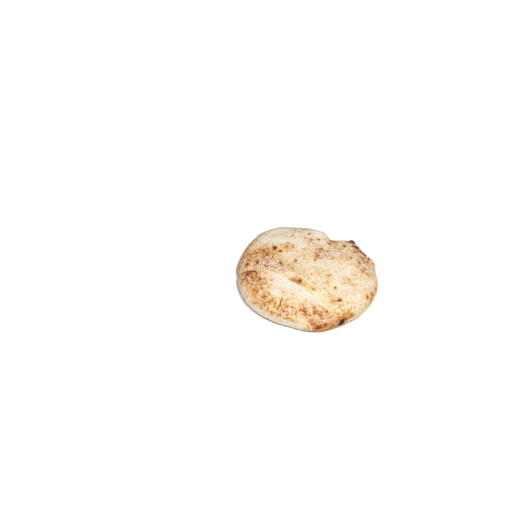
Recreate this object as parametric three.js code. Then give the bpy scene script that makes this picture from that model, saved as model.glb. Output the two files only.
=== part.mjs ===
// A puccia: the round flat wheat loaf that is baked straight on the floor of a wood-fired oven.
// It is one solid, a puffed cushion of dough with a flat base, a rounded uneven rim, creases where
// the dough was folded and pinched, and blisters that the heat raised on its crown.
// Millimetres, +Z up. The origin is on the table, under the middle of the loaf.
import * as THREE from "three";
import { mergeVertices } from "three/addons/utils/BufferGeometryUtils.js";

// Driving dimensions of the plain loaf, before its swells and relief.
const LOAF_WIDTH = 176; // left to right
const LOAF_DEPTH = 172; // front to back
const LOAF_HEIGHT = 38; // table to the middle of the crown
const RIM_HEIGHT = 11; // table to the widest line of the loaf
const BASE_SHARE = 0.9; // part of the radius that lies flat on the table
const CROWN_FULLNESS = 3; // a larger exponent carries the crown's height further out
const CROWN_ROUNDNESS = 2.2; // a larger exponent makes the shoulder above the rim steeper
const SWELL_HOLD = 4; // a larger exponent keeps the rim's swells closer to the rim
const RELIEF_FADE = 0.6; // exponent by which the relief dies away down the shoulder

// Facets of the solid.
const FACETS_AROUND = 120;
const RINGS_UNDER_RIM = 6;
const RINGS_ON_CROWN = 32;

// Where the hand-shaped rim stands out from a plain oval, or in where reach is negative.
// Angles are in degrees, counted from +X towards +Y.
const RIM_SWELLS = [
  { name: "right side", angle: 9, spread: 14, reach: 3.5 },
  { name: "right shoulder", angle: 32, spread: 9, reach: 8 },
  { name: "back lobe", angle: 52, spread: 10, reach: 6 },
  { name: "notch beside the lobe", angle: 73, spread: 7, reach: -7 },
  { name: "left back", angle: 131, spread: 27, reach: 6 },
  { name: "pinch", angle: 191, spread: 5, reach: -2 },
  { name: "left front", angle: 225, spread: 22, reach: 3 },
  { name: "whole front", angle: 270, spread: 60, reach: -2.2 },
  { name: "front dip", angle: 264, spread: 12, reach: -1.5 },
  { name: "front", angle: 284, spread: 14, reach: 1.5 },
  { name: "right front", angle: 314, spread: 20, reach: -3 },
];

// Broad puffs of the crown.
const PUFFS = [
  { name: "left back", x: -30, y: 26, radius: 42, height: 2 },
  { name: "right", x: 45, y: 0, radius: 38, height: 1 },
  { name: "left front", x: -30, y: -64, radius: 24, height: 1.5 },
  { name: "back lobe", x: 54, y: 58, radius: 16, height: 2 },
];

// Creases run from one point to another. Each is a rounded valley, deep at its start and at its
// end as given, with a lip standing up along its left side.
const CREASES = [
  { name: "valley beside the lobe", from: [26, 82], to: [15, 48], width: 10, depths: [12, 0], lip: 0 },
  { name: "long fold", from: [-27, -26], to: [39, -63], width: 5.5, depths: [1.2, 1], lip: 0.5 },
  { name: "pinched edge", from: [-90, -18], to: [-62, -19], width: 4, depths: [5, 0.5], lip: 1 },
  { name: "burst", from: [-25.5, -64.5], to: [-27, -70.5], width: 2.5, depths: [1.2, 1.2], lip: 0 },
];
const LIP_OFFSET = 1.6; // how far a lip's top stands from its crease, in crease widths

// Blisters that the oven raised, the charred ones among them.
const BLISTERS = [
  { name: "black bubble on the lobe", x: 49, y: 72, radius: 5.2, height: 7.5 },
  { name: "charred front bubble", x: 53.5, y: -66, radius: 5, height: 2 },
  { name: "grey bubble on the crown", x: 7, y: 17, radius: 5, height: 1.6 },
  { name: "grey bubble on the left", x: -36.5, y: -6.5, radius: 4, height: 1.3 },
  { name: "bubble on the right", x: 45, y: -46.5, radius: 4, height: 1.1 },
  { name: "bubble by the right rim", x: 78.5, y: -22.5, radius: 4.5, height: 1.2 },
  { name: "browned bubble by the fold", x: -9, y: -29, radius: 8, height: 1.4 },
  { name: "browned bubble on the left", x: -46, y: 17, radius: 5, height: 1.2 },
  { name: "browned bubble by the pinch", x: -71, y: -28, radius: 7, height: 1.4 },
  { name: "browned front bubble", x: 25, y: -76, radius: 7, height: 1.3 },
];
const BLISTER_CAP = 0.75; // exponent of a blister's cap: lower is flatter on top

// Long shallow waves of the crown, each turned by the golden angle from the one before.
const WAVES = 7;
const LONGEST_WAVE = 72;
const SHORTEST_WAVE = 20;
const WAVE_HEIGHT = 0.55;
const WAVE_TURN = Math.PI * (3 - Math.sqrt(5));
const WAVE_SHIFT = 1.7; // radians from one wave's start to the next one's

const CRUST = { color: 0xe6c9a0, roughness: 0.85, metalness: 0 };

// Height of the plain crown above the table, at a share of the radius.
function crownHeight(share) {
  const rise = (1 - share ** CROWN_FULLNESS) ** (1 / CROWN_ROUNDNESS);
  return RIM_HEIGHT + (LOAF_HEIGHT - RIM_HEIGHT) * rise;
}

// Half of the loaf's cross-section, from the middle of the base round the rim to the crown's middle.
// x is a share of the radius and y a height.
function sideProfile() {
  const points = [new THREE.Vector2(0, 0)];
  for (let i = 0; i <= RINGS_UNDER_RIM; i++) {
    const turn = ((i / RINGS_UNDER_RIM) * Math.PI) / 2;
    const share = BASE_SHARE + (1 - BASE_SHARE) * Math.sin(turn);
    points.push(new THREE.Vector2(share, RIM_HEIGHT * (1 - Math.cos(turn))));
  }
  for (let i = 1; i < RINGS_ON_CROWN; i++) {
    const share = Math.cos(((i / RINGS_ON_CROWN) * Math.PI) / 2);
    points.push(new THREE.Vector2(share, crownHeight(share)));
  }
  points.push(new THREE.Vector2(0, LOAF_HEIGHT));
  return points;
}

// Distance from the axis at an angle, in radians, and a share of the radius.
function loafRadius(angle, share) {
  const oval = 1 / Math.hypot(Math.cos(angle) / (LOAF_WIDTH / 2), Math.sin(angle) / (LOAF_DEPTH / 2));
  let swell = 0;
  for (const { angle: middle, spread, reach } of RIM_SWELLS) {
    const apart = THREE.MathUtils.euclideanModulo(THREE.MathUtils.radToDeg(angle) - middle + 180, 360) - 180;
    swell += reach * Math.exp(-((apart / spread) ** 2));
  }
  return share * (oval + swell * share ** SWELL_HOLD);
}

function waveHeight(x, y) {
  let sum = 0;
  for (let i = 0; i < WAVES; i++) {
    const length = LONGEST_WAVE * (SHORTEST_WAVE / LONGEST_WAVE) ** (i / (WAVES - 1));
    const along = x * Math.cos(i * WAVE_TURN) + y * Math.sin(i * WAVE_TURN);
    sum += (length / LONGEST_WAVE) * Math.cos((2 * Math.PI * along) / length + i * WAVE_SHIFT);
  }
  return WAVE_HEIGHT * sum;
}

function puffHeight(x, y, puff) {
  return puff.height * Math.exp(-((x - puff.x) ** 2 + (y - puff.y) ** 2) / puff.radius ** 2);
}

function creaseHeight(x, y, { from, to, width, depths, lip }) {
  const length = Math.hypot(to[0] - from[0], to[1] - from[1]);
  const run = [(to[0] - from[0]) / length, (to[1] - from[1]) / length];
  const along = (x - from[0]) * run[0] + (y - from[1]) * run[1];
  const side = (y - from[1]) * run[0] - (x - from[0]) * run[1];
  const share = THREE.MathUtils.clamp(along / length, 0, 1);
  const beyond = along - share * length;
  const depth = THREE.MathUtils.lerp(depths[0], depths[1], share);
  const valley = Math.exp(-(side ** 2 + beyond ** 2) / width ** 2);
  const ridge = Math.exp(-((side - LIP_OFFSET * width) ** 2 + beyond ** 2) / width ** 2);
  return lip * ridge - depth * valley;
}

function blisterHeight(x, y, blister) {
  const inside = 1 - ((x - blister.x) ** 2 + (y - blister.y) ** 2) / blister.radius ** 2;
  return inside > 0 ? blister.height * inside ** BLISTER_CAP : 0;
}

function crownRelief(x, y) {
  let height = waveHeight(x, y);
  for (const puff of PUFFS) height += puffHeight(x, y, puff);
  for (const crease of CREASES) height += creaseHeight(x, y, crease);
  for (const blister of BLISTERS) height += blisterHeight(x, y, blister);
  return height;
}

// Carries a point of the turned profile to its place on the loaf.
function placeOnLoaf(point) {
  const angle = Math.atan2(point.y, point.x);
  const radius = loafRadius(angle, Math.hypot(point.x, point.y));
  const x = radius * Math.cos(angle);
  const y = radius * Math.sin(angle);
  const climb = (point.z - RIM_HEIGHT) / (LOAF_HEIGHT - RIM_HEIGHT);
  const lift = climb > 0 ? climb ** RELIEF_FADE : 0;
  return point.set(x, y, point.z + lift * crownRelief(x, y));
}

// Joins the seam and the two poles, and drops the triangles that have no area there.
function closeSurface(turned) {
  turned.deleteAttribute("normal");
  turned.deleteAttribute("uv");
  const joined = mergeVertices(turned, 1e-4);
  const corners = joined.getIndex().array;
  const kept = [];
  for (let i = 0; i < corners.length; i += 3) {
    const [a, b, c] = corners.slice(i, i + 3);
    if (a !== b && b !== c && c !== a) kept.push(a, b, c);
  }
  joined.setIndex(kept);
  return joined;
}

function loafGeometry() {
  const turned = new THREE.LatheGeometry(sideProfile(), FACETS_AROUND);
  turned.rotateX(Math.PI / 2);
  const positions = turned.getAttribute("position");
  const point = new THREE.Vector3();
  for (let i = 0; i < positions.count; i++) {
    placeOnLoaf(point.fromBufferAttribute(positions, i));
    positions.setXYZ(i, point.x, point.y, point.z);
  }
  const loaf = closeSurface(turned);
  loaf.computeBoundingBox();
  const middle = loaf.boundingBox.getCenter(new THREE.Vector3());
  loaf.translate(-middle.x, -middle.y, 0);
  loaf.computeVertexNormals();
  return loaf;
}

const bread = new THREE.Mesh(loafGeometry(), new THREE.MeshStandardMaterial(CRUST));
bread.name = "bread";

const puccia = new THREE.Group();
puccia.name = "puccia";
puccia.add(bread);

export default puccia;
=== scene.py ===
# %% [markdown]
# # A puccia from the oven floor
# A puccia is a round flat loaf of wheat dough. It is shaped by hand, dusted with flour and baked straight
# on the floor of a very hot oven, so it puffs up like a cushion, browns in blotches and chars where a
# blister stands up. The packed solid gives the loaf's place, size and main form. This lesson gives it the
# skin: a finer surface with the same form, the small blisters and wrinkles, the browning, the flour, and
# a soft light to see them by.

import bpy
import numpy as np
from mathutils import Matrix, Vector


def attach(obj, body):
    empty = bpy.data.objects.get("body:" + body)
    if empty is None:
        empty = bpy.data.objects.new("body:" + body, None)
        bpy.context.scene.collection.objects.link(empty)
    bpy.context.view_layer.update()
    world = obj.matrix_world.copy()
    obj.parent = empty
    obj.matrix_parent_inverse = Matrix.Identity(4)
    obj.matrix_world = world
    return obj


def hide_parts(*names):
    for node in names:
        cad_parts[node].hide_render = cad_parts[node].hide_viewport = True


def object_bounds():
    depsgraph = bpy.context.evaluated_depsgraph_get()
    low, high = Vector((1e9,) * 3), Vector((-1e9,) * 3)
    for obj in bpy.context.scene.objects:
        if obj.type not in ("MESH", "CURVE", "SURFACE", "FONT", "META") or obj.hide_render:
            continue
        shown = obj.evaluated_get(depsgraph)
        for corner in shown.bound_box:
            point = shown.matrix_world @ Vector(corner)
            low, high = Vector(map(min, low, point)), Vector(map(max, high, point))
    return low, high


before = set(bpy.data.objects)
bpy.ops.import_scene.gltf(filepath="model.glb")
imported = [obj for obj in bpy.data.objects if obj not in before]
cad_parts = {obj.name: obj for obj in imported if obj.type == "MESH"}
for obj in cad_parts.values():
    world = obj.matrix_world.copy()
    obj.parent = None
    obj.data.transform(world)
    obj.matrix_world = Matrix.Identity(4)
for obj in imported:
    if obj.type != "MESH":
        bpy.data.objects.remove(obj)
solid_low, solid_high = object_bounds()
print("solid box in metres:", [round(v, 4) for v in solid_low], [round(v, 4) for v in solid_high])

# %% [markdown]
# ## The plain loaf
# Under its skin the loaf is simple: a flat base, a rounded rim, and a crown that is nearly level in the
# middle. It could be sculpted, or pushed out of a sphere with modifiers. Here it is a function of two
# parameters, because a function can be asked for as many points as a close look needs, and it gives the
# same loaf on every run. One parameter turns round the loaf. The other runs along its side profile, from
# the middle of the base out and up round the rim, and in over the crown. Lengths are in millimetres, and
# become metres only when the mesh is made.

# %% Side profile of the plain loaf
MM = 0.001
LOAF_WIDTH = 176.0
LOAF_DEPTH = 172.0
LOAF_HEIGHT = 38.0
RIM_HEIGHT = 11.0
BASE_SHARE = 0.9
CROWN_FULLNESS = 3.0
CROWN_ROUNDNESS = 2.2

AROUND = 540
BASE_RINGS = 14
UNDER_RINGS = 22
CROWN_RINGS = 140


def side_profile():
    """Share of the radius and height of each ring. The base is a straight line, the rim's underside a
    quarter of an ellipse, and the crown rises by (1 - share ^ fullness) ^ (1 / roundness)."""
    base = np.linspace(0, BASE_SHARE, BASE_RINGS + 1)[1:-1]
    under = np.linspace(0, np.pi / 2, UNDER_RINGS)
    over = np.linspace(0, np.pi / 2, CROWN_RINGS + 1)[1:-1]
    rise = (1 - np.cos(over) ** CROWN_FULLNESS) ** (1 / CROWN_ROUNDNESS)
    share = np.concatenate([base, BASE_SHARE + (1 - BASE_SHARE) * np.sin(under), np.cos(over)])
    height = np.concatenate(
        [0 * base, RIM_HEIGHT * (1 - np.cos(under)), RIM_HEIGHT + (LOAF_HEIGHT - RIM_HEIGHT) * rise]
    )
    return share, height


ring_share, ring_height = side_profile()
print(f"profile: {len(ring_share)} rings of {AROUND} points")

# %% [markdown]
# ## The hand-shaped rim
# No loaf is a true oval. A hand pressed a lobe and a notch into the back of this one, a shoulder into its
# right side and a pinch into its left. Each is a soft bump on the radius, written as an angle, a spread
# and a reach, so the outline is a short list to read instead of a long list of points.

# %% Swells of the rim
SWELL_HOLD = 4
RIM_SWELLS = [
    dict(name="right side", angle=9, spread=14, reach=3.5),
    dict(name="right shoulder", angle=32, spread=9, reach=8.0),
    dict(name="back lobe", angle=52, spread=10, reach=6.0),
    dict(name="notch beside the lobe", angle=73, spread=7, reach=-7.0),
    dict(name="left back", angle=131, spread=27, reach=6.0),
    dict(name="pinch", angle=191, spread=5, reach=-2.0),
    dict(name="left front", angle=225, spread=22, reach=3.0),
    dict(name="whole front", angle=270, spread=60, reach=-2.2),
    dict(name="front dip", angle=264, spread=12, reach=-1.5),
    dict(name="front", angle=284, spread=14, reach=1.5),
    dict(name="right front", angle=314, spread=20, reach=-3.0),
]


def degrees_apart(turn, angle):
    """How far a turn in radians is past an angle in degrees, the short way round, in degrees."""
    return (np.degrees(turn) - angle + 180) % 360 - 180


def loaf_radius(turn, share):
    """Radius at a turn and share: an oval's plus the swells, which die away inwards as share ^ hold."""
    plain = 1 / np.hypot(np.cos(turn) / (LOAF_WIDTH / 2), np.sin(turn) / (LOAF_DEPTH / 2))
    swell = 0
    for s in RIM_SWELLS:
        swell = swell + s["reach"] * np.exp(-((degrees_apart(turn, s["angle"]) / s["spread"]) ** 2))
    return share * (plain + swell * share**SWELL_HOLD)


turn = np.linspace(0, 2 * np.pi, AROUND, endpoint=False)[None, :]
radius = loaf_radius(turn, ring_share[:, None])
plain_x = radius * np.cos(turn)
plain_y = radius * np.sin(turn)
plain_z = np.repeat(ring_height[:, None], AROUND, axis=1)
print(f"outline: {np.ptp(plain_x):.1f} by {np.ptp(plain_y):.1f} mm")

# %% [markdown]
# ## Relief of the crown
# The oven lifts the crown in broad puffs. A long fold runs across the front half, where the dough was
# laid over itself, a valley runs in from the notch, and the left edge is pinched. The larger blisters are
# the ones that the heat raised first, so they are also the darkest. All of this is a height over the
# plain crown, as a sum of small formulas in x and y, and it fades out down the shoulder so that the rim
# stays round.

# %% Puffs, folds and large blisters
RELIEF_FADE = 0.6
PUFFS = [
    dict(name="left back", x=-30, y=26, radius=42, height=2.0),
    dict(name="right", x=45, y=0, radius=38, height=1.0),
    dict(name="left front", x=-30, y=-64, radius=24, height=1.5),
    dict(name="back lobe", x=54, y=58, radius=16, height=2.0),
]
LIP_OFFSET = 1.6
CREASES = [
    dict(name="valley by the lobe", start=(26, 82), end=(15, 48), width=10.0, depths=(12.0, 0.0), lip=0.0),
    dict(name="long fold", start=(-27, -26), end=(39, -63), width=5.5, depths=(1.2, 1.0), lip=0.5),
    dict(name="pinched edge", start=(-90, -18), end=(-62, -19), width=4.0, depths=(5.0, 0.5), lip=1.0),
    dict(name="burst", start=(-25.5, -64.5), end=(-27, -70.5), width=2.5, depths=(1.2, 1.2), lip=0.0),
]
BLISTER_CAP = 0.75
BLISTERS = [
    dict(name="black bubble on the lobe", x=49, y=72, radius=5.2, height=7.5),
    dict(name="charred front bubble", x=53.5, y=-66, radius=5.0, height=2.0),
    dict(name="grey bubble on the crown", x=7, y=17, radius=5.0, height=1.6),
    dict(name="grey bubble on the left", x=-36.5, y=-6.5, radius=4.0, height=1.3),
    dict(name="bubble on the right", x=45, y=-46.5, radius=4.0, height=1.1),
    dict(name="bubble by the right rim", x=78.5, y=-22.5, radius=4.5, height=1.2),
    dict(name="browned bubble by the fold", x=-9, y=-29, radius=8.0, height=1.4),
    dict(name="browned bubble on the left", x=-46, y=17, radius=5.0, height=1.2),
    dict(name="browned bubble by the pinch", x=-71, y=-28, radius=7.0, height=1.4),
    dict(name="browned front bubble", x=25, y=-76, radius=7.0, height=1.3),
]
WAVES = 7
LONGEST_WAVE = 72.0
SHORTEST_WAVE = 20.0
WAVE_HEIGHT = 0.55
WAVE_TURN = np.pi * (3 - np.sqrt(5))
WAVE_SHIFT = 1.7


def long_waves(x, y):
    """Cosine waves added up, each shorter and lower than the last and turned by the golden angle."""
    height = 0
    for i in range(WAVES):
        length = LONGEST_WAVE * (SHORTEST_WAVE / LONGEST_WAVE) ** (i / (WAVES - 1))
        along = x * np.cos(i * WAVE_TURN) + y * np.sin(i * WAVE_TURN)
        height = height + length / LONGEST_WAVE * np.cos(2 * np.pi * along / length + i * WAVE_SHIFT)
    return WAVE_HEIGHT * height


def puff(x, y, p):
    """A bell: height * exp(-distance^2 / radius^2)."""
    return p["height"] * np.exp(-((x - p["x"]) ** 2 + (y - p["y"]) ** 2) / p["radius"] ** 2)


def crease(x, y, c):
    """A bell-shaped valley along a line, with a bell-shaped lip beside it on its left."""
    (x0, y0), (x1, y1) = c["start"], c["end"]
    length = np.hypot(x1 - x0, y1 - y0)
    run_x, run_y = (x1 - x0) / length, (y1 - y0) / length
    along = (x - x0) * run_x + (y - y0) * run_y
    side = (y - y0) * run_x - (x - x0) * run_y
    part = np.clip(along / length, 0, 1)
    beyond = along - part * length
    depth = c["depths"][0] + (c["depths"][1] - c["depths"][0]) * part
    valley = np.exp(-(side**2 + beyond**2) / c["width"] ** 2)
    ridge = np.exp(-((side - LIP_OFFSET * c["width"]) ** 2 + beyond**2) / c["width"] ** 2)
    return c["lip"] * ridge - depth * valley


def blister(x, y, b):
    """A cap: height * (1 - distance^2 / radius^2) ^ cap inside the radius, and nothing outside it."""
    inside = np.clip(1 - ((x - b["x"]) ** 2 + (y - b["y"]) ** 2) / b["radius"] ** 2, 0, 1)
    return b["height"] * inside**BLISTER_CAP


def crown_relief(x, y):
    """The waves, puffs, creases and large blisters added up."""
    height = long_waves(x, y)
    height = height + sum(puff(x, y, p) for p in PUFFS)
    height = height + sum(crease(x, y, c) for c in CREASES)
    return height + sum(blister(x, y, b) for b in BLISTERS)


climb = np.clip((plain_z - RIM_HEIGHT) / (LOAF_HEIGHT - RIM_HEIGHT), 0, 1)
lift = climb**RELIEF_FADE
form = np.stack([plain_x, plain_y, plain_z + lift * crown_relief(plain_x, plain_y)], axis=-1)
solid_middle = np.array((solid_low + solid_high) / 2) / MM
form_middle = (form.min(axis=(0, 1)) + form.max(axis=(0, 1))) / 2
form_shift = np.array([solid_middle[0] - form_middle[0], solid_middle[1] - form_middle[1], 0])
form = form + form_shift
print("form:", np.round(form.min(axis=(0, 1)), 1), np.round(form.max(axis=(0, 1)), 1), "mm")

# %% [markdown]
# ## Soft randomness
# Dough and fire are uneven, so both the skin and its colour need noise. Blender has noise textures for
# shaders, but the mesh is made here in numpy, so this cell makes its own: random slopes on a lattice of
# cubes, blended smoothly between the corners. All points go through it at once, and a seed makes it the
# same on every run.

# %% A noise for whole arrays
SLOPES = 256
NOISE_GAIN = 1.6


def ease(t):
    """A smooth step from 0 to 1: t^3 (6 t^2 - 15 t + 10)."""
    return t**3 * (6 * t**2 - 15 * t + 10)


def noise(points, cell, seed):
    """Gradient noise, about -1 to 1: at each corner of a cube of that cell size a random slope times the
    way from the corner, blended between the eight corners."""
    rng = np.random.default_rng(seed)
    slopes = rng.normal(size=(SLOPES, 3))
    slopes /= np.linalg.norm(slopes, axis=1, keepdims=True)
    mix = rng.permutation(SLOPES)
    place = points / cell
    corner = np.floor(place).astype(int)
    inside = place - corner
    weight = ease(inside)
    total = 0
    for step in np.ndindex(2, 2, 2):
        at = corner + np.array(step)
        pick = mix[(mix[(mix[at[..., 0] % SLOPES] + at[..., 1]) % SLOPES] + at[..., 2]) % SLOPES]
        rise = np.sum(slopes[pick] * (inside - np.array(step)), axis=-1)
        total = total + rise * np.prod(np.where(step, weight, 1 - weight), axis=-1)
    return total * NOISE_GAIN


print("noise spread on the form:", round(float(noise(form, cell=8.0, seed=1).std()), 3))

# %% [markdown]
# ## Where the fire went
# The oven's heat comes from one side and from above, so the loaf browns in patches: strongly along the
# front and the left, hardly at all in the fold. A painter would brush that on. Here each patch is an oval
# with a place, a size and a strength. The brown patches make one number for every point, its heat, and
# the pale ones take some of it away. Noise pushes the points about before they are looked up, so that no
# patch has a clean edge.

# %% Browned and pale patches of the crown
BARE_HEAT = 0.165
# Each patch is its name, x, y, reach along and across, turn in degrees and strength.
BROWN_PATCHES = [
    ("front left band", -57, -54.5, 25, 16, -42, 0.2),
    ("front left rim", -47, -66, 16, 8, -35, 0.36),
    ("front band", -18, -74, 24, 10, -12, 0.5),
    ("front right band", 21, -75.5, 24, 12, 8, 0.46),
    ("front corner", 46, -68.5, 15, 6.5, 38, 0.4),
    ("before the pinch", -69, -37, 15, 9, -35, 0.8),
    ("left front", -62, -38.5, 16, 9, -35, 0.3),
    ("left middle", -77, -1.5, 16, 10, 75, 0.34),
    ("behind the pinch", -64, -17.5, 9, 4, 0, 0.28),
    ("floury left", -46, -15.5, 25, 10, -10, 0.45),
    ("orange heart", -60, 3.5, 17, 12, 10, 0.75),
    ("left rim", -88, -1.5, 22, 5, 88, 0.4),
    ("left back rim", -88, 22.5, 17, 7, 70, 0.7),
    ("left back streak", -30, 17.5, 12, 6, 50, 0.26),
    ("left back edge", -85, 21, 16, 6, 68, 0.5),
    ("left back", -57, 19.5, 9, 5, 15, 0.24),
    ("far back", -26, 57, 7, 6, 0, 0.25),
    ("end of the fold", 15, -61, 9, 4, -25, 0.28),
    ("far right", 62, -2, 8, 6, 0, 0.24),
    ("middle back", 12, 20.5, 24, 9, -10, 0.46),
    ("back streak", -3, 39.5, 13, 8, -25, 0.8),
    ("behind the middle", 29, 39.5, 12, 7, -20, 0.36),
    ("behind the right", 38, 28.5, 8, 7, 0, 0.06),
    ("right back", 64, 34.5, 14, 8, -25, 0.44),
    ("right shoulder", 64, 14, 13, 9, -15, 0.5),
    ("lobe", 57, 54.5, 17, 9, -45, 0.68),
    ("back of the lobe", 44, 69.5, 15, 7, -20, 0.88),
    ("notch", 22, 64.5, 18, 8, 80, 0.9),
    ("right rim", 85, -15, 20, 3.4, 80, 0.5),
    ("right front rim", 58, -56.5, 14, 5, 45, 0.3),
    ("bubble by the fold", -11, -37.5, 9, 3.8, -18, 0.7),
    ("tail of the bubble", 10, -43.5, 4, 2, -20, 0.4),
    ("beyond the fold", 38, -52.5, 9, 6, 0, 0.3),
    ("middle", -28, -4.5, 14, 10, -10, 0.14),
    ("right of the middle", 18, -10.5, 12, 9, -20, 0.24),
    ("behind the bubble", -4, -22, 9, 6, -20, 0.2),
    ("before the right", 22, -32, 9, 6, -25, 0.18),
    ("right", 53, -16.5, 13, 7, -15, 0.2),
]
PALE_PATCHES = [
    ("top of the fold", -35, -31, 11, 5, -38, 0.65),
    ("left back", -50, 35.5, 18, 9, 10, 0.85),
    ("back", -22, 35.5, 11, 8, 0, 0.7),
    ("back hump", 5, 66.5, 26, 15, 75, 0.97),
    ("lip of the lobe", 70, 49.5, 8, 4.5, -50, 0.96),
    ("front of the fold", -30, -59.5, 15, 8, -20, 0.7),
    ("middle", 0, -7.5, 14, 9, 0, 0.35),
    ("right", 42, 5.5, 22, 11, 5, 0.55),
    ("right front", 47, -36.5, 16, 9, -20, 0.3),
    ("front rim", 2, -86.5, 10, 5, 5, 0.8),
    ("pinched edge", -76, -21.5, 11, 2.2, -8, 0.75),
    ("beside the notch", 9, 50, 9, 9, 0, 0.42),
    ("beside the heart", -71, 16, 9, 7, 60, 0.6),
    ("left", -69, -5, 6, 4, 0, 0.5),
    ("front", -8, -74, 7, 4, 0, 0.2),
    ("beside the middle", 32, -12, 8, 6, 0, 0.5),
    ("behind the middle", 14, 33, 11, 5, -10, 0.5),
    ("left of the middle", -11, 17, 8, 6, 0, 0.35),
    ("right of the left back", -40, 30, 5, 4, 0, 0.8),
    ("beyond the heart", -42, 2, 7, 8, 0, 0.4),
    ("left of the fold", -48, -39, 6, 4, -30, 0.22),
    ("behind the fold", -26, -24, 8, 5, -20, 0.35),
    ("left of the burst", -39, -65, 5, 4, 0, 0.25),
    ("left lip of the burst", -29.6, -69, 4, 1.5, 80, 0.8),
    ("right lip of the burst", -23.4, -69, 4, 1.3, 80, 0.6),
]
BROAD_WARP = dict(cell=7.0, seeds=(11, 12, 13))
FINE_WARP = dict(cell=2.6, seeds=(14, 15, 16))
PATCH_WARP = (1.8, 1.1)


def oval(x, y, patch):
    """A bell on an oval: its strength in the middle, falling by exp(-(u / along)^2 - (v / across)^2)
    along its own two axes."""
    _, middle_x, middle_y, along, across, degrees, strength = patch
    angle = np.radians(degrees)
    u = (x - middle_x) * np.cos(angle) + (y - middle_y) * np.sin(angle)
    v = (y - middle_y) * np.cos(angle) - (x - middle_x) * np.sin(angle)
    return strength * np.exp(-((u / along) ** 2) - (v / across) ** 2)


def covered(x, y, patches, bare=0.0):
    """Cover from 0 to 1: each patch covers a share of what the others have left bare."""
    left = 1 - bare
    for patch in patches:
        left = left * (1 - oval(x, y, patch))
    return 1 - left


def patch_heat(x, y):
    """Heat from 0 to 1 on the crown: brown patches cover it, and each pale patch takes its share away."""
    heat = covered(x, y, BROWN_PATCHES, BARE_HEAT)
    for patch in PALE_PATCHES:
        heat = heat * (1 - oval(x, y, patch))
    return heat


def warp_field(warp):
    """Three noises, one for each direction, that push points about."""
    return np.stack([noise(form, warp["cell"], seed) for seed in warp["seeds"]], axis=-1)


def warped(amounts):
    """The form's points, pushed by an amount of the broad warp and one of the fine, in millimetres."""
    return form + amounts[0] * broad_warp + amounts[1] * fine_warp


broad_warp = warp_field(BROAD_WARP)
fine_warp = warp_field(FINE_WARP)
patchy = warped(PATCH_WARP)
crown_heat = patch_heat(patchy[..., 0], patchy[..., 1])
print(f"patches: {len(BROWN_PATCHES)} brown, {len(PALE_PATCHES)} pale; mean heat {crown_heat.mean():.2f}")

# %% [markdown]
# ## The pale band of the fold
# Where the dough was laid over itself, the upper layer ends in one sharp edge, and the skin in front of
# the edge was pulled tight and stayed pale. An oval has no sharp side. So this band is measured from the
# edge itself: a step at the edge, and then a slow fade to the front that gets shorter towards the right.

# %% Pale band of the fold
FOLD_EDGE = [
    (-42, -26), (-33, -30), (-19.5, -37), (-6.5, -42), (8.5, -50.5), (20.5, -56.5), (36.5, -64.5), (44, -68)
]
FOLD_COSINE = 0.9
FOLD_REACH = [(-25, 27), (17, 3.5)]
FOLD_ENDS = [(-42, -32), (34, 42)]
FOLD_STEP = (-0.8, 0.8)
FOLD_PALE = 0.95
LINE_WARP = (0.5, 0.3)


def rise_between(value, low_high):
    """A smooth step: 0 at the low value, 1 at the high one."""
    return ease(np.clip((value - low_high[0]) / (low_high[1] - low_high[0]), 0, 1))


def before_fold(x, y):
    """How far a point lies in front of the fold's edge: the edge's y at the point's x, less the point's
    own, times the cosine of the edge's slope. The edge is straight between its corners."""
    edge_x, edge_y = np.transpose(FOLD_EDGE)
    return FOLD_COSINE * (np.interp(x, edge_x, edge_y) - y)


def fold_band(x, y):
    """The pale band: a sharp step at the edge, then exp(-(front / reach) ^ 2), narrower to the right."""
    front = before_fold(x, y)
    ends = rise_between(x, FOLD_ENDS[0]) * (1 - rise_between(x, FOLD_ENDS[1]))
    return ends * rise_between(front, FOLD_STEP) * np.exp(-((front / np.interp(x, *FOLD_REACH)) ** 2))


wobbly = warped(LINE_WARP)
fold = fold_band(wobbly[..., 0], wobbly[..., 1])
crown_heat = crown_heat * (1 - FOLD_PALE * fold)
print(f"fold: {int((fold > 0.5).sum())} points in the band; mean heat {crown_heat.mean():.2f}")

# %% [markdown]
# ## The wall and the base
# The wall hardly browns, apart from a few stretches that the fire reached, and the base bakes on the hot
# floor. Both go by simpler rules than the crown: the wall's heat depends on the angle round the loaf, and
# the base has one heat all over. Smooth steps in height join base, wall and crown.

# %% Heat of the wall and the base
WALL_HEAT = 0.16
BASE_HEAT = 0.62
WALL_TOP = (11.0, 18.0)
WALL_FOOT = (0.5, 2.5)
WALL_PATCHES = [
    dict(name="left front", angle=225, spread=30, heat=0.04),
    dict(name="right front", angle=293, spread=20, heat=0.56),
    dict(name="notch and lobe", angle=68, spread=20, heat=0.4),
    dict(name="left", angle=174, spread=26, heat=0.52),
    dict(name="right", angle=352, spread=22, heat=0.42),
    dict(name="front", angle=268, spread=10, heat=0.04),
]

above_wall = rise_between(patchy[..., 2], WALL_TOP)
above_base = rise_between(wobbly[..., 2], WALL_FOOT)
wall_heat = WALL_HEAT
for p in WALL_PATCHES:
    apart = degrees_apart(turn, p["angle"]) / p["spread"]
    wall_heat = wall_heat + (p["heat"] - wall_heat) * np.exp(-(apart**2))
side_heat = BASE_HEAT + (wall_heat - BASE_HEAT) * above_base
heat = side_heat + (crown_heat - side_heat) * above_wall
print(f"heat: mean {heat.mean():.2f}, highest {heat.max():.2f}")
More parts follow.
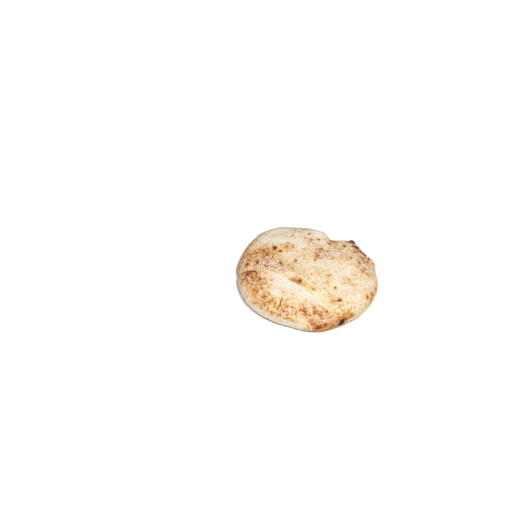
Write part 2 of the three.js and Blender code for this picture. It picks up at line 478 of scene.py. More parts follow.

# %% [markdown]
# ## Dark spots, painted crease shade and char
# Blisters dry out first, so many scorch to a dark brown, and the few that stand highest char to black. A
# spot is a place, a radius and a strength. Its distance is measured in space, from its own point on the
# crown, so that it stays round where the crown slopes. The burst, the lobe and the pinch also have thin
# dark lines, partly browning and partly painted shade in their creases. Those are creases turned over, so
# they need no formula of their own.

# %% Dark and charred spots
# Each dark spot is its x, y, radius and scorch.
LEFT_SPOTS = [
    (-48, 13.5, 3.4, 1.0),
    (-41.5, 11, 2.8, 0.9),
    (-68, -0.5, 2.6, 0.35),
    (-55, 0.5, 2.8, 0.3),
    (-65, -13, 3.4, 0.7),
    (-78, -14.5, 3.6, 0.8),
    (-77, -6.5, 2.8, 0.6),
    (-37, -10, 3.4, 0.4),
    (-18.5, -1.5, 2.1, 0.6),
    (-58, -38.5, 2.8, 0.6),
    (-63, -30, 2.6, 0.6),
    (-73, -31, 3.6, 0.7),
    (-69, -34.5, 3.0, 0.5),
    (-77, -27, 2.6, 0.45),
    (-62, -53.5, 2.2, 0.4),
]
BACK_SPOTS = [
    (6, 13.5, 3.8, 0.55),
    (5, 5.5, 2.2, 0.65),
    (10, 29.5, 3.0, 0.55),
    (-6, 43.5, 2.8, 0.5),
    (-13, 43.5, 2.4, 0.5),
    (-9.5, 55.5, 2.4, 0.7),
    (4, 49, 2.7, 0.7),
    (-18, 67.5, 2.8, 0.65),
    (-27, 63, 2.6, 0.5),
    (-21, 57.5, 2.6, 0.35),
    (-30.5, 46, 2.6, 0.35),
    (-33.5, 28.5, 3.0, 0.5),
    (-37, 19.5, 2.8, 0.3),
    (18, 45.5, 2.7, 0.7),
    (22, 60.5, 3.4, 0.95),
    (23, 72, 5.2, 0.95),
]
LOBE_SPOTS = [
    (42, 67, 4.0, 0.5),
    (38, 51, 3.0, 0.95),
    (52.5, 55, 3.8, 1.0),
    (60, 50, 3.4, 0.8),
    (78, 41, 3.4, 0.5),
    (53, 41.5, 2.4, 0.65),
    (64, 38.5, 2.6, 0.7),
    (65, 32.5, 2.6, 0.6),
    (72, 42.5, 2.8, 0.7),
    (48, 26.5, 2.4, 0.5),
    (60, 23.5, 2.6, 0.65),
]
RIGHT_SPOTS = [
    (36, -32, 1.8, 0.8),
    (4, -21, 1.9, 0.45),
    (25.5, -16, 1.7, 0.35),
    (25.5, -27.5, 1.6, 0.4),
    (55.5, -19, 2.2, 0.35),
    (44, -48.5, 3.2, 0.65),
    (35, -52.5, 2.4, 0.45),
    (77, -24.5, 2.8, 0.75),
    (61, -55.5, 2.8, 0.45),
    (83, -15.5, 2.8, 0.5),
]
FRONT_SPOTS = [
    (30, -68.5, 2.8, 0.6),
    (25, -74.5, 3.2, 0.6),
    (35.5, -67, 2.0, 0.5),
    (16.5, -74.5, 2.4, 0.45),
    (11, -77, 2.2, 0.4),
    (5, -75.5, 3.2, 0.6),
    (24, -83, 5.0, 0.75),
    (16, -83, 3.4, 0.65),
    (32, -78.5, 3.4, 0.65),
    (52, -66.5, 8.0, 0.65),
    (-26, -56.5, 2.2, 0.45),
    (-8.5, -35.5, 3.3, 0.8),
    (-16.5, -36, 2.2, 0.5),
    (-3, -39, 2.4, 0.4),
    (10, -43.5, 2.4, 0.55),
]
# Each charred spot is its x, y, radius and char.
CHARRED_SPOTS = [
    (48, 70.5, 7.2, 1.0),
    (52.5, -65.5, 4.8, 1.0),
    (-65, -13, 3.2, 0.6),
    (-78.5, -14.5, 3.0, 0.3),
    (-37, -10, 3.4, 0.68),
    (6, 13.5, 3.4, 0.5),
    (44, -48.5, 3.0, 0.7),
    (-18.5, -1.5, 2.2, 0.5),
    (-27, 63, 2.8, 0.36),
    (-18, 68, 2.8, 0.36),
    (22, 61.5, 4.0, 0.42),
]
SPOT_EDGE = 2
SPOT_WARP = (1.0, 0.6)
# Thin dark lines in creases: partly browning, and partly painted shade where the crease lies in shadow.
BROWN_AND_SHADE_LINES = [
    dict(name="burst", start=(-25.9, -66.5), end=(-27.2, -72.3), width=1.3, strength=0.68),
    dict(name="edge of the lobe", start=(49, 57.5), end=(67, 44.5), width=2.0, strength=0.8),
    dict(name="back of the lobe", start=(55, 67), end=(64, 61), width=1.8, strength=0.6),
    dict(name="before the pinch", start=(-82, -26), end=(-64, -28.5), width=2.0, strength=0.6),
]


def spots_on(points, crown, spots):
    """Strength of the strongest spot at each point: strength * exp(-(distance / radius) ^ edge), where a
    spot's middle is the crown's own point nearest to its x and y, so that spots stay round on a slope."""
    strongest = 0
    for x, y, size, strength in spots:
        middle = crown[np.argmin(np.hypot(crown[:, 0] - x, crown[:, 1] - y))]
        away = np.linalg.norm(points - middle, axis=-1)
        strongest = np.maximum(strongest, strength * np.exp(-((away / size) ** SPOT_EDGE)))
    return strongest


def lines_on(x, y, lines):
    """Strength of the strongest line: a crease turned over, without a lip and as high as its strength."""
    strongest = 0
    for line in lines:
        depth = -line["strength"]
        strongest = np.maximum(strongest, crease(x, y, dict(line, depths=(depth, depth), lip=0.0)))
    return strongest


crown_points = form[plain_z > RIM_HEIGHT]
dark_spots = LEFT_SPOTS + BACK_SPOTS + LOBE_SPOTS + RIGHT_SPOTS + FRONT_SPOTS
spotted = warped(SPOT_WARP)
scorch = spots_on(spotted, crown_points, dark_spots)
# The crease lines add painted shade to the dark spots.
scorch = np.maximum(scorch, lines_on(spotted[..., 0], spotted[..., 1], BROWN_AND_SHADE_LINES) * above_wall)
char = spots_on(spotted, crown_points, CHARRED_SPOTS)
print(f"spots: {len(dark_spots)} dark; charred points: {int((char > 0.5).sum())}")

# %% [markdown]
# ## The skin
# A baked skin is never smooth. It has soft lumps a finger wide, a fine goose-flesh, and small blisters
# that crowd where the heat was. Bump in a shader would shade them, but only real relief gives a true edge
# and a true shadow, so everything wider than about two millimetres goes into the mesh, along the
# surface's own normals. The base keeps its level: it is only hollowed a little, as dough is where it
# bridges the oven floor.

# %% Small blisters, lumps and hollows
SKIN_SEED = 7
SMALL_BLISTERS = 420
STREWN_REACH = 92
SMALL_RADIUS = (1.2, 3.0)
SMALL_SCORCH = (0.05, 0.45)
SMALL_TOP = 0.75
SMALL_STEEPNESS = 0.16
KEPT_BY_HEAT = 1.6
SCORCHED_BY_HEAT = 2
LUMPS = [
    dict(cell=19.0, height=0.55, seed=20),
    dict(cell=8.0, height=0.28, seed=21),
    dict(cell=3.6, height=0.13, seed=22),
]
RAISED_SPAN = 0.5
FINE_CREASES = [
    dict(name="fold end", start=(38.7, -63.5), end=(9.2, -49), width=1.4, depths=(0.25, 0.35), lip=0.4),
    dict(name="fold edge", start=(9.2, -49), end=(-19.3, -35.5), width=1.4, depths=(0.35, 0.2), lip=0.4),
    dict(name="second fold line", start=(18, -58), end=(-26, -41), width=1.3, depths=(0.4, 0.3), lip=0.4),
    dict(name="third fold line", start=(-6, -54.5), end=(-36, -33), width=1.3, depths=(0.2, 0.4), lip=0.4),
    dict(name="burst", start=(-26, -66.5), end=(-27.2, -72.3), width=1.2, depths=(0.8, 0.8), lip=0.4),
    dict(name="lobe edge", start=(48, 58.5), end=(67, 44.5), width=1.6, depths=(0.7, 0.9), lip=0.6),
    dict(name="back wrinkle", start=(-64, 48.5), end=(-36, 65.5), width=1.8, depths=(0.5, 0.7), lip=0.3),
    dict(name="second wrinkle", start=(-52, 50.5), end=(-30, 60.5), width=1.6, depths=(0.4, 0.3), lip=0.2),
    dict(name="pinch wrinkle", start=(-84, -25.5), end=(-66, -26.5), width=1.6, depths=(0.8, 0.3), lip=0.3),
    dict(name="right wrinkle", start=(84, -3.5), end=(79, -31.5), width=1.8, depths=(0.3, 0.5), lip=0.3),
]
BASE_HOLLOW = 0.7
BASE_EDGE = 0.06
HOLLOW_MIDDLE = 0.5
HOLLOWS = [dict(cell=16.0, height=0.7, seed=31), dict(cell=5.0, height=0.4, seed=32)]


def unit_normals(surface):
    """Normals of a grid that closes on itself: the way round crossed with the way along the profile."""
    around = np.roll(surface, -1, axis=1) - np.roll(surface, 1, axis=1)
    along = np.gradient(surface, axis=0)
    normal = np.cross(around, along)
    return normal / np.linalg.norm(normal, axis=-1, keepdims=True)


def rough(bumps, middle=0):
    """Noises of several cell sizes added up, each by its own height and seed, on a middle height."""
    return sum((b["height"] * noise(form, b["cell"], b["seed"]) for b in bumps), middle)


def strewn_blisters(rng):
    """Places, radii and scorch of small blisters strewn over a disc, kept more often where it is hot."""
    reach = STREWN_REACH * np.sqrt(rng.random(SMALL_BLISTERS))
    way = 2 * np.pi * rng.random(SMALL_BLISTERS)
    size = rng.uniform(*SMALL_RADIUS, SMALL_BLISTERS)
    scorched_by = rng.uniform(*SMALL_SCORCH, SMALL_BLISTERS)
    keep = rng.random(SMALL_BLISTERS)
    x, y = reach * np.cos(way), reach * np.sin(way)
    warmth = patch_heat(x, y) * (1 - FOLD_PALE * fold_band(x, y))
    scorched = scorched_by * np.clip(SCORCHED_BY_HEAT * warmth, 0, 1)
    return np.stack([x, y, size, scorched], axis=-1)[keep < KEPT_BY_HEAT * warmth]


def cap_heights(surface, blisters):
    """The highest blister cap at each point above the rim. A cap's height is radius times steepness."""
    height = np.zeros(surface.shape[:2])
    for x, y, size, _ in blisters:
        cap = dict(x=x, y=y, radius=size, height=size * SMALL_STEEPNESS)
        height = np.maximum(height, blister(surface[..., 0], surface[..., 1], cap))
    return height * (surface[..., 2] > RIM_HEIGHT)


strewn = strewn_blisters(np.random.default_rng(SKIN_SEED))
caps = cap_heights(form, strewn)
scorch = np.maximum(scorch, spots_on(spotted, crown_points, strewn * [1, 1, SMALL_TOP, 1]))
lumps = rough(LUMPS)
lines = lift * sum(crease(wobbly[..., 0], wobbly[..., 1], c) for c in FINE_CREASES)
on_base = (ring_share[:, None] <= BASE_SHARE) & (plain_z < RIM_HEIGHT / 2)
hollow = BASE_HOLLOW * np.clip(rough(HOLLOWS, HOLLOW_MIDDLE), 0, 1)
base_edge = np.clip((BASE_SHARE - ring_share[:, None]) / BASE_EDGE, 0, 1)
skin = np.where(on_base, -hollow * base_edge, lumps + caps + lines)
surface = form + skin[..., None] * unit_normals(form)
surface[..., 2] = np.maximum(surface[..., 2], 0)
raised = np.clip((lumps + caps) / RAISED_SPAN, -1, 1)
print(f"skin: {len(strewn)} small blisters, relief {skin.min():.2f} to {skin.max():.2f} mm")

# %% [markdown]
# ## Flour, ash and painted shade, moist dough and stretch marks
# The dough is turned out on a floured board and dusted again before it goes in. Hands and the peel rub
# the flour off the front, and it stays thick at the back and on the wall. Flour dulls the brown under it
# to a pale mauve, so it is kept as a number of its own and not mixed into the heat. So are three smaller
# things. A grey of ash and painted shade darkens the back, and most of all the left back rim, where the rim
# turns away from the light. It spares the white lump there, which is a painted highlight laid on as flour.
# Dough that stayed moist behind the fold is the yellow of straw. And skin that was pulled has fine lines
# along the pull.

# %% Floury, ashen and shaded, moist and stretched patches
BARE_FLOUR = 0.12
WALL_FLOUR = 0.66
BASE_FLOUR = 0.2
# A flour-white lump on a small fold at the back: a painted highlight.
PAINTED_HIGHLIGHT_LUMP = ("white lump at the back", -49, 61, 6, 3.5, 30, 0.95)
FLOUR_PATCHES = [
    ("middle back", 5, 24.5, 42, 20, -15, 0.5),
    ("left back", -45, 58.5, 45, 24, 25, 0.7),
    ("left middle", -47, -16.5, 22, 10, -15, 0.55),
    ("right back", 62, 32.5, 26, 14, -25, 0.5),
    ("front of the fold", -36, -47.5, 18, 9, -30, 0.4),
    PAINTED_HIGHLIGHT_LUMP,
    ("lip of the lobe", 70, 50, 7, 3.5, -50, 0.8),
    ("left", -64, -4, 22, 12, 80, 0.08),
    ("left front", -56, -50, 26, 13, -45, 0.22),
    ("front", 12, -73, 32, 11, 5, 0.28),
    ("lobe", 50, 58, 18, 13, -30, 0.36),
]
MOIST_PATCHES = [
    ("behind the fold", 22.5, -52.5, 16, 5.5, -28, 0.95),
    ("front rim", 2, -85.5, 10, 5, 0, 0.7),
    ("pinched edge", -74, -21.5, 10, 2.6, -8, 0.6),
]
# Grey patches: a mauve-grey tint on the crown, and painted shade at the left rim and at the back.
ASH_AND_SHADE_PATCHES = [
    ("left rim", -84, 4, 14, 6, 80, 0.3),
    ("back left", -32, 71, 14, 8, 20, 0.45),
    ("back", -14, 76, 18, 8, 0, 0.4),
    ("left middle", -48, -15.5, 24, 10, -10, 0.3),
    ("right back", 62, 32.5, 26, 14, -25, 0.25),
    ("across the crown", 5, 17, 62, 10, 27, 0.25),
]
# A grey band along the left back rim: painted shade where the rim turns away from the light, with some ash.
RIM_ASH_AND_SHADE = dict(name="left back rim", angle=141, spread=22, share=0.75)
RIM_BAND = (0.82, 0.95)
RIM_WANDER = 0.02
STRETCH_PATCHES = [
    ("top of the fold", -24, -37.5, 20, 10, -25, 1.0),
    ("end of the fold", 18, -55.5, 26, 8, -28, 1.0),
    ("left front", -52, -56, 28, 15, -35, 0.3),
    ("middle and right", 20, -12, 45, 22, -15, 0.3),
    ("right back", 36, 36, 40, 22, -25, 0.25),
]

crown_flour = covered(patchy[..., 0], patchy[..., 1], FLOUR_PATCHES, BARE_FLOUR)
wall_flour = WALL_FLOUR * (1 - wall_heat / BASE_HEAT)
side_flour = BASE_FLOUR + (wall_flour - BASE_FLOUR) * above_base
flour = side_flour + (crown_flour - side_flour) * above_wall
rim_apart = degrees_apart(turn, RIM_ASH_AND_SHADE["angle"]) / RIM_ASH_AND_SHADE["spread"]
rim_edge = ring_share[:, None] + RIM_WANDER * broad_warp[..., 0]
rim_ash_and_shade = RIM_ASH_AND_SHADE["share"] * np.exp(-(rim_apart**2)) * rise_between(rim_edge, RIM_BAND)
ash = covered(patchy[..., 0], patchy[..., 1], ASH_AND_SHADE_PATCHES)
ash = 1 - (1 - ash) * (1 - rim_ash_and_shade)
ash = ash * (1 - covered(form[..., 0], form[..., 1], [PAINTED_HIGHLIGHT_LUMP])) * above_base
moist = covered(patchy[..., 0], patchy[..., 1], MOIST_PATCHES) * above_wall * (1 - fold)
stretch = covered(form[..., 0], form[..., 1], STRETCH_PATCHES) * above_wall
print(f"flour: mean {flour.mean():.2f}, highest {flour.max():.2f}; moist points: {int((moist > 0.5).sum())}")

# %% [markdown]
# ## The mesh
# The grid becomes a closed mesh: its rings are joined by quads that wrap round at the seam, and one point
# closes each end. Points and faces are made as arrays and handed over whole. Heat, char and the rest
# travel with the points as attributes, so that the material can read them wherever the loaf goes.

# %% Close the grid into a mesh
def closed_mesh(name, grid, attributes):
    """Quads between neighbouring rings, (ring, k), (ring, k + 1), (ring + 1, k + 1), (ring + 1, k), and a
    fan of triangles from the mean of the first and last ring."""
    rings, around = grid.shape[:2]
    points = np.concatenate([grid.reshape(-1, 3), grid[:1].mean(axis=1), grid[-1:].mean(axis=1)])
    index = np.arange(rings * around).reshape(rings, around)
    after = np.roll(index, -1, axis=1)
    quads = np.stack([index[:-1], after[:-1], after[1:], index[1:]], axis=-1).reshape(-1, 4)
    low, high = rings * around, rings * around + 1
    under = np.stack([np.full(around, low), after[0], index[0]], axis=-1)
    over = np.stack([index[-1], after[-1], np.full(around, high)], axis=-1)
    mesh = bpy.data.meshes.new(name)
    mesh.from_pydata(points.tolist(), [], quads.tolist() + under.tolist() + over.tolist())
    for label, values in attributes.items():
        flat = np.concatenate([values.ravel(), [values[0].mean()], [values[-1].mean()]])
        mesh.attributes.new(label, "FLOAT", "POINT").data.foreach_set("value", flat.astype(np.float32))
    mesh.polygons.foreach_set("use_smooth", np.ones(len(mesh.polygons), bool))
    mesh.update()
    return mesh


loaf_marks = dict(
    toast=heat, scorch=scorch, char=char, raised=raised, dust=flour, ash=ash, moist=moist, stretch=stretch
)
loaf_mesh = closed_mesh("loaf", surface * MM, loaf_marks)
loaf = bpy.data.objects.new("loaf", loaf_mesh)
bpy.context.scene.collection.objects.link(loaf)
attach(loaf, "root")
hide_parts("bread")
loaf_mesh.calc_loop_triangles()
print(f"mesh: {len(loaf_mesh.vertices)} points, {len(loaf_mesh.loop_triangles)} triangles")

# %% [markdown]
# ## Shader sums
# A crust needs a good many small sums between noises and masks, and a node graph built line by line is
# hard to read. This class wraps one output of a node, so that `heat + 0.4 * speckle` adds the Math nodes
# by itself. Every other kind of node comes from one method: settings first, then a value or a link for
# each socket.

# %% A class for shader sums
class Wire:
    """One output socket of a shader node, with the operators that the finishes use."""

    def __init__(self, socket):
        self.socket = socket

    @staticmethod
    def node(tree, kind, settings, sockets, out=0):
        """Adds a node, sets its settings, fills or links its sockets and returns one of its outputs."""
        made = tree.nodes.new(kind)
        for name, value in settings.items():
            if name == "stops":
                ramp = made.color_ramp.elements
                ramp[0].color = value[0][1]
                ramp[1].color = value[-1][1]
                for place, colour in value[1:-1]:
                    ramp.new(place).color = colour
            else:
                setattr(made, name, value)
        for name, value in sockets.items():
            if isinstance(value, Wire):
                tree.links.new(value.socket, made.inputs[name])
            else:
                made.inputs[name].default_value = value
        return Wire(made.outputs[out])

    def sum(self, operation, first, second=0.0, limit=False):
        """One Math node with that operation on two inputs, held between 0 and 1 if asked."""
        settings = {"operation": operation, "use_clamp": limit}
        return Wire.node(self.socket.id_data, "ShaderNodeMath", settings, {0: first, 1: second})

    def __add__(self, other):
        return self.sum("ADD", self, other)

    def __sub__(self, other):
        return self.sum("SUBTRACT", self, other)

    def __rsub__(self, other):
        return self.sum("SUBTRACT", other, self)

    def __mul__(self, other):
        return self.sum("MULTIPLY", self, other)

    def limited(self):
        """The value held between 0 and 1."""
        return self.sum("ADD", self, 0.0, limit=True)

    def at_most(self, other):
        """The value, or the other where that is less."""
        return self.sum("MINIMUM", self, other)

    def step(self, low, high):
        """A smooth step: 0 below low, 1 above high."""
        settings = {"interpolation_type": "SMOOTHSTEP"}
        sockets = {"Value": self, "From Min": low, "From Max": high}
        return Wire.node(self.socket.id_data, "ShaderNodeMapRange", settings, sockets)

    __radd__ = __add__
    __rmul__ = __mul__


print("shader sums ready:", [name for name in vars(Wire) if not name.startswith("_")])

# %% [markdown]
# ## Colours and noises
# Baked dough runs from cream through straw and gold to a dark brown. Colours are easiest to judge as they
# look on screen, so they are written that way and turned into linear light. The blotches come from
# Blender's own noise, in sizes from a finger's width down to a grain. Its raw values crowd round a half,
# so they are spread out until most lie between -1 and 1, and a weight then means the same for every
# noise.

# %% Colours and noises of the crust
def paint(red, green, blue):
    """A colour given as it looks on screen, 0 to 255, as the linear light that shaders use: shown / 12.92
    for the darkest tones, and ((shown + 0.055) / 1.055) ^ 2.4 for the others."""
    shown = np.array([red, green, blue]) / 255
    light = np.where(shown <= 0.04045, shown / 12.92, ((shown + 0.055) / 1.055) ** 2.4)
    return (*light.tolist(), 1.0)


BAKED_STOPS = [
    (0.00, paint(250, 243, 227)),
    (0.12, paint(247, 232, 203)),
    (0.25, paint(243, 216, 167)),
    (0.40, paint(235, 190, 118)),
    (0.55, paint(222, 156, 70)),
    (0.70, paint(200, 120, 38)),
    (0.82, paint(168, 84, 24)),
    (0.92, paint(122, 54, 18)),
    (1.00, paint(72, 36, 20)),
]
CHAR_BLACK = paint(24, 15, 11)
FLOUR_WHITE = paint(249, 239, 228)
ASH_AND_SHADE_GREY = paint(190, 170, 156)
MOIST_STRAW = paint(248, 226, 172)
NOISE_SPREAD = 0.13
CLOUD = dict(size=0.012, octaves=4, roughness=1.0, warp=0.8)
SPECKLE = dict(size=0.0022, octaves=2, roughness=0.9, warp=0.8)
FLECK = dict(size=0.0034, octaves=2, roughness=0.7, warp=0.8)
GRAIN = dict(size=0.0009, octaves=2)
DUST = dict(size=0.005, octaves=3, roughness=1.0)
STREAK = dict(size=0.0018, octaves=2)


def mix_colours(tree, share, first, second):
    """The first colour, going over to the second by a share from 0 to 1."""
    settings = {"data_type": "RGBA", "clamp_factor": True}
    return Wire.node(tree, "ShaderNodeMix", settings, {0: share, 6: first, 7: second}, out=2)


def crust_noise(tree, place, size, octaves, roughness=0.6, warp=0.0):
    """Blender's own noise: blotches of about that size in metres with finer ones on them, each half as
    wide as the last and weaker by the roughness, pushed about by the warp. Most lies between -1 and 1."""
    weights = roughness ** np.arange(octaves)
    spread = NOISE_SPREAD * np.sqrt((weights**2).sum()) / weights.sum()
    sockets = {"Vector": place, "Scale": 1 / size, "Detail": octaves - 1}
    sockets.update({"Roughness": roughness, "Distortion": warp})
    raw = Wire.node(tree, "ShaderNodeTexNoise", {"noise_dimensions": "3D"}, sockets)
    return (raw - 0.5) * (1 / spread)


def attribute(tree, name):
    """A number that the mesh carries at its points."""
    settings = {"attribute_type": "GEOMETRY", "attribute_name": name}
    return Wire.node(tree, "ShaderNodeAttribute", settings, {}, out="Fac")


print(f"crust: {len(BAKED_STOPS)} tones; flour in linear light {[round(v, 2) for v in FLOUR_WHITE[:3]]}")

# %% [markdown]
# ## The crust
# Seen close, the crust is several things on top of each other. The dough browns by its heat and by
# blotches, because dry specks brown before moist ones. Spots and small flecks are darker. So are a few
# creases, where the dark is partly browning and partly painted shade. Where the skin was pulled, the
# blotches give way to lines. Flour lies on that as a broken white dust, a grey of ash and painted shade
# darkens the places where the flour is thin, and char is a dull black over everything. A painted picture
# could hold all this, but sums on noise stay sharp at any distance.

# %% Material of the crust
PULL_TURN = np.radians(-27)
PULL_LENGTH = 4
PULL_SMOOTHS = 0.8
PULL_CLEARS = 0.9
CLOUD_SHARE = 0.8
SPECKLE_SHARE = 1.1
STREAK_SHARE = 1.1
FLECK_EDGE = (1.1, 2.0)
FLECKS_ANYWHERE = 0.16
FLECKS_BY_HEAT = 1.1
FLECKS_BY_ASH_AND_SHADE = 0.4
SCORCH_AND_SHADE_GAIN = 1.25
SWING_ANYWHERE = 0.06
SWING_BY_HEAT = 0.25
SWING_SHIFT = 0.2
PALE_SWING_LESS = 0.35
RAISED_HEAT = 0.05
GRAIN_HEAT = 0.02
GOLD = 0.5
BEYOND_GOLD = 0.5
DARK_BROWNING = 0.94
DARK_BROWNING_SPECKLE = 0.08
STRAW_SHARE = 0.8
STRAW_MOTTLE = 0.2
FLOUR_SHARE = 0.5
FLOUR_DUST = 0.7
FLOUR_MOTTLE = 0.5
ASH_AND_SHADE_SHARE = 0.7
ASH_AND_SHADE_DUST = 0.8
ASH_AND_SHADE_MOTTLE = 0.2
CHAR_EDGE = (0.2, 0.75)
CHAR_SPECKLE = 0.15
CHAR_GRAIN = 0.1
FLOURY_ROUGHNESS = 0.86
BROWN_SHINE = 0.22
GRAIN_ROUGHNESS = 0.02
CRUST_SPECULAR = 0.15
SPECKLE_BUMP = 0.6
STREAK_BUMP = 0.6
GRAIN_BUMP = 0.25
BUMP = {"Strength": 0.5, "Distance": 0.0003}


def crust_finish():
    """Dough browned by heat, blotches, spots and painted crease shade, with straw, flour, a grey of ash and
    painted shade, and char mixed over it in turn.
    """
    material = bpy.data.materials.new("floury crust")
    material.use_nodes = True
    tree = material.node_tree
    shader = tree.nodes["Principled BSDF"]
    heat, scorch, char, raised, flour, ash, moist, stretch = [attribute(tree, name) for name in loaf_marks]
    place = Wire.node(tree, "ShaderNodeTexCoord", {}, {}, out="Object")
    pull = {"Vector": place, "Rotation": (0, 0, PULL_TURN), "Scale": (PULL_LENGTH, 1, 1)}
    pulled = Wire.node(tree, "ShaderNodeMapping", {"vector_type": "TEXTURE"}, pull)
    cloud, speckle, fleck = [crust_noise(tree, place, **kind) for kind in (CLOUD, SPECKLE, FLECK)]
    grain, dust = [crust_noise(tree, place, **kind) for kind in (GRAIN, DUST)]
    streak = crust_noise(tree, pulled, **STREAK)

    # Blotches, with lines along the pull instead where the skin was stretched.
    blotches = (1 - PULL_SMOOTHS * stretch) * (CLOUD_SHARE * cloud + SPECKLE_SHARE * speckle)
    mottle = blotches + STREAK_SHARE * stretch * streak
    # Dark spots, painted shade in a few creases, and small flecks, which crowd where it was hot or where ash
    # and painted shade grey it.
    crowd = FLECKS_ANYWHERE + FLECKS_BY_HEAT * heat + FLECKS_BY_ASH_AND_SHADE * ash
    flecks = crowd * (1 - PULL_CLEARS * stretch) * fleck.step(*FLECK_EDGE)
    dark = (SCORCH_AND_SHADE_GAIN * scorch + flecks).limited()
    # Heat made uneven by the blotches, more so where it is hot, and less towards pale than towards brown.
    swing = mottle - PALE_SWING_LESS * mottle.at_most(0) - SWING_SHIFT
    uneven = heat + (SWING_ANYWHERE + SWING_BY_HEAT * heat) * swing
    uneven = uneven + RAISED_HEAT * raised + GRAIN_HEAT * grain
    # Beyond gold the browning slows, and dark spots and painted crease shade pull it on to nearly black.
    golden = uneven.at_most(GOLD)
    toasted = golden + BEYOND_GOLD * (uneven - golden)
    browning = toasted + dark * (DARK_BROWNING + DARK_BROWNING_SPECKLE * speckle - toasted)
    baked = Wire.node(tree, "ShaderNodeValToRGB", {"stops": BAKED_STOPS}, {"Fac": browning})
    # The layers over the dough.
    straw = (moist * (STRAW_SHARE + STRAW_MOTTLE * mottle)).limited()
    tinted = mix_colours(tree, straw, baked, MOIST_STRAW)
    lying = FLOUR_SHARE + FLOUR_DUST * dust - FLOUR_MOTTLE * mottle
    floured = (flour * lying * (1 - dark)).limited()
    dusted = mix_colours(tree, floured, tinted, FLOUR_WHITE)
    # A grey of ash and painted shade, broken by the dust and the blotches.
    between = ASH_AND_SHADE_SHARE - ASH_AND_SHADE_DUST * dust - ASH_AND_SHADE_MOTTLE * mottle
    greyed_by_ash_and_shade = (ash * between * (1 - dark)).limited()
    ashen_and_shaded = mix_colours(tree, greyed_by_ash_and_shade, dusted, ASH_AND_SHADE_GREY)
    burnt = (char + char * (CHAR_SPECKLE * speckle + CHAR_GRAIN * grain)).step(*CHAR_EDGE)
    colour = mix_colours(tree, burnt, ashen_and_shaded, CHAR_BLACK)
    tree.links.new(colour.socket, shader.inputs["Base Color"])

    # Browned crust shines a little more than floury dough.
    roughness = (FLOURY_ROUGHNESS - BROWN_SHINE * browning + GRAIN_ROUGHNESS * grain).limited()
    tree.links.new(roughness.socket, shader.inputs["Roughness"])
    shader.inputs["Specular IOR Level"].default_value = CRUST_SPECULAR

    # Relief too fine for the mesh.
    height = SPECKLE_BUMP * speckle + STREAK_BUMP * stretch * streak + GRAIN_BUMP * grain
    bump = Wire.node(tree, "ShaderNodeBump", {}, {"Height": height, **BUMP}, out="Normal")
    tree.links.new(bump.socket, shader.inputs["Normal"])
    return material


loaf_mesh.materials.append(crust_finish())
print("crust nodes:", len(loaf_mesh.materials[0].node_tree.nodes))

# %% [markdown]
# ## A white table
# The loaf lies on a white table. A white table that only reflects never quite reaches the white of the
# wall behind it, so this one also glows a little, as a lit table does. That keeps the shadow a thin line
# under the rim. The table lies a hair below the base, so that the two faces don't fight for the same
# place.

# %% White table
TABLE_HALF = 4.0
TABLE_DROP = 0.0002
TABLE_WHITE = (0.96, 0.96, 0.96, 1.0)
TABLE_ROUGHNESS = 0.9
TABLE_GLOW = 0.03
WHITE = (1.0, 1.0, 1.0, 1.0)


def table_finish():
    """A dull white that sends back nearly all of the light and adds a small glow."""
    material = bpy.data.materials.new("white table")
    material.use_nodes = True
    shader = material.node_tree.nodes["Principled BSDF"]
    shader.inputs["Base Color"].default_value = TABLE_WHITE
    shader.inputs["Roughness"].default_value = TABLE_ROUGHNESS
    shader.inputs["Emission Color"].default_value = WHITE
    shader.inputs["Emission Strength"].default_value = TABLE_GLOW
    return material


corners = TABLE_HALF * np.array([[-1, -1, 0], [1, -1, 0], [1, 1, 0], [-1, 1, 0]]) - [0, 0, TABLE_DROP]
table_mesh = bpy.data.meshes.new("table")
table_mesh.from_pydata(corners.tolist(), [], [(0, 1, 2, 3)])
table_mesh.materials.append(table_finish())
table = bpy.data.objects.new("table", table_mesh)
bpy.context.scene.collection.objects.link(table)
print(f"table: {2 * TABLE_HALF:.0f} m wide, {TABLE_DROP / MM:.1f} mm under the loaf")

# %% [markdown]
# ## Soft light
# A strong light from the front right models the relief, and a weak one from the left opens its shadows.
# Area lamps would do, but they fade over the table. Sun lamps with a wide angle light all of it alike and
# are as soft. The colours are shown as they are, with the Standard view, because a filmic view would grey
# the white.

# %% Lights and room
ROOM_LIGHT = 0.1
LIGHTS = [
    dict(name="key from the front right", towards=(0.36, -0.62, 1.6), spread=10, strength=2.75),
    dict(name="fill from the left", towards=(-0.9, -0.6, 1.5), spread=30, strength=0.5),
]


def soft_light(light):
    """A broad far light, the same over the whole table and soft by its spread in degrees."""
    lamp = bpy.data.lights.new(light["name"], "SUN")
    lamp.angle = np.radians(light["spread"])
    lamp.energy = light["strength"]
    holder = bpy.data.objects.new(light["name"], lamp)
    holder.location = light["towards"]
    holder.rotation_euler = (-Vector(light["towards"])).to_track_quat("-Z", "Y").to_euler()
    bpy.context.scene.collection.objects.link(holder)


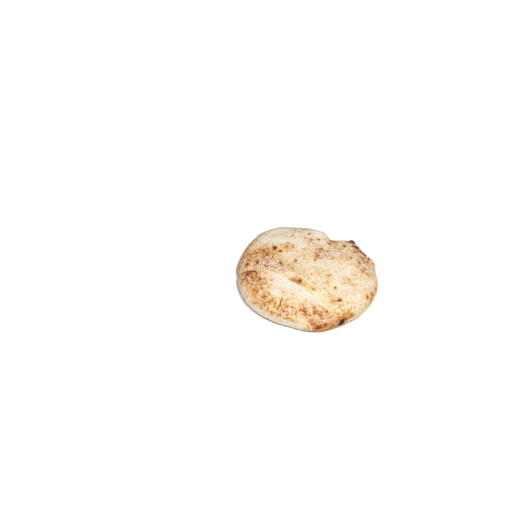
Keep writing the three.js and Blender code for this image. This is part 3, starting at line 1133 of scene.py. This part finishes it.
for light in LIGHTS:
    soft_light(light)
room = bpy.data.worlds.new("white room")
room.use_nodes = True
backdrop = room.node_tree.nodes["Background"]
backdrop.inputs["Color"].default_value = WHITE
backdrop.inputs["Strength"].default_value = ROOM_LIGHT
bpy.context.scene.world = room
bpy.context.scene.view_settings.view_transform = "Standard"
print("lights:", [light["name"] for light in LIGHTS])

# %% [markdown]
# ## The camera
# How far off the picture was taken can't be known. This camera stands about a metre and a half away and
# looks down at 44 degrees, because from there the outline of the loaf fits the picture. The loaf is off
# the middle of a square frame and turned a little clockwise. So the camera is first aimed straight at it
# and rolled, and then turned until the loaf sits at its own place in the frame. Turning it keeps the lens
# centred, so the loaf stays in the middle when other views are taken.

# %% Camera of the picture
FRAME_PIXELS = 512
LOAF_PIXEL = (307.3, 275.0)
LENS = 85.0
SENSOR = 36.0
CAMERA_AWAY = 1.53
CAMERA_RISE = np.radians(44.0)
CAMERA_ROLL = np.radians(11.5)
AIM_HEIGHT = 0.018

focal_pixels = FRAME_PIXELS * LENS / SENSOR
aim = Vector((form_shift[0] * MM, form_shift[1] * MM, AIM_HEIGHT))
back = Vector((0, -np.cos(CAMERA_RISE), np.sin(CAMERA_RISE)))
level_right = Vector((1, 0, 0))
level_up = back.cross(level_right)
right = level_right * np.cos(CAMERA_ROLL) + level_up * np.sin(CAMERA_ROLL)
up = level_up * np.cos(CAMERA_ROLL) - level_right * np.sin(CAMERA_ROLL)
straight = Matrix((right, up, back)).transposed()
off_middle = np.array(LOAF_PIXEL) - FRAME_PIXELS / 2
sight = Vector((off_middle[0] / focal_pixels, -off_middle[1] / focal_pixels, -1)).normalized()
swing = sight.rotation_difference(Vector((0, 0, -1))).to_matrix()

lens = bpy.data.cameras.new("picture camera")
lens.lens = LENS
lens.sensor_width = SENSOR
camera = bpy.data.objects.new("picture camera", lens)
camera.matrix_world = Matrix.Translation(aim + back * CAMERA_AWAY) @ (straight @ swing).to_4x4()
bpy.context.scene.collection.objects.link(camera)
bpy.context.scene.camera = camera
print("camera at", [round(v, 3) for v in camera.location])

# %% [markdown]
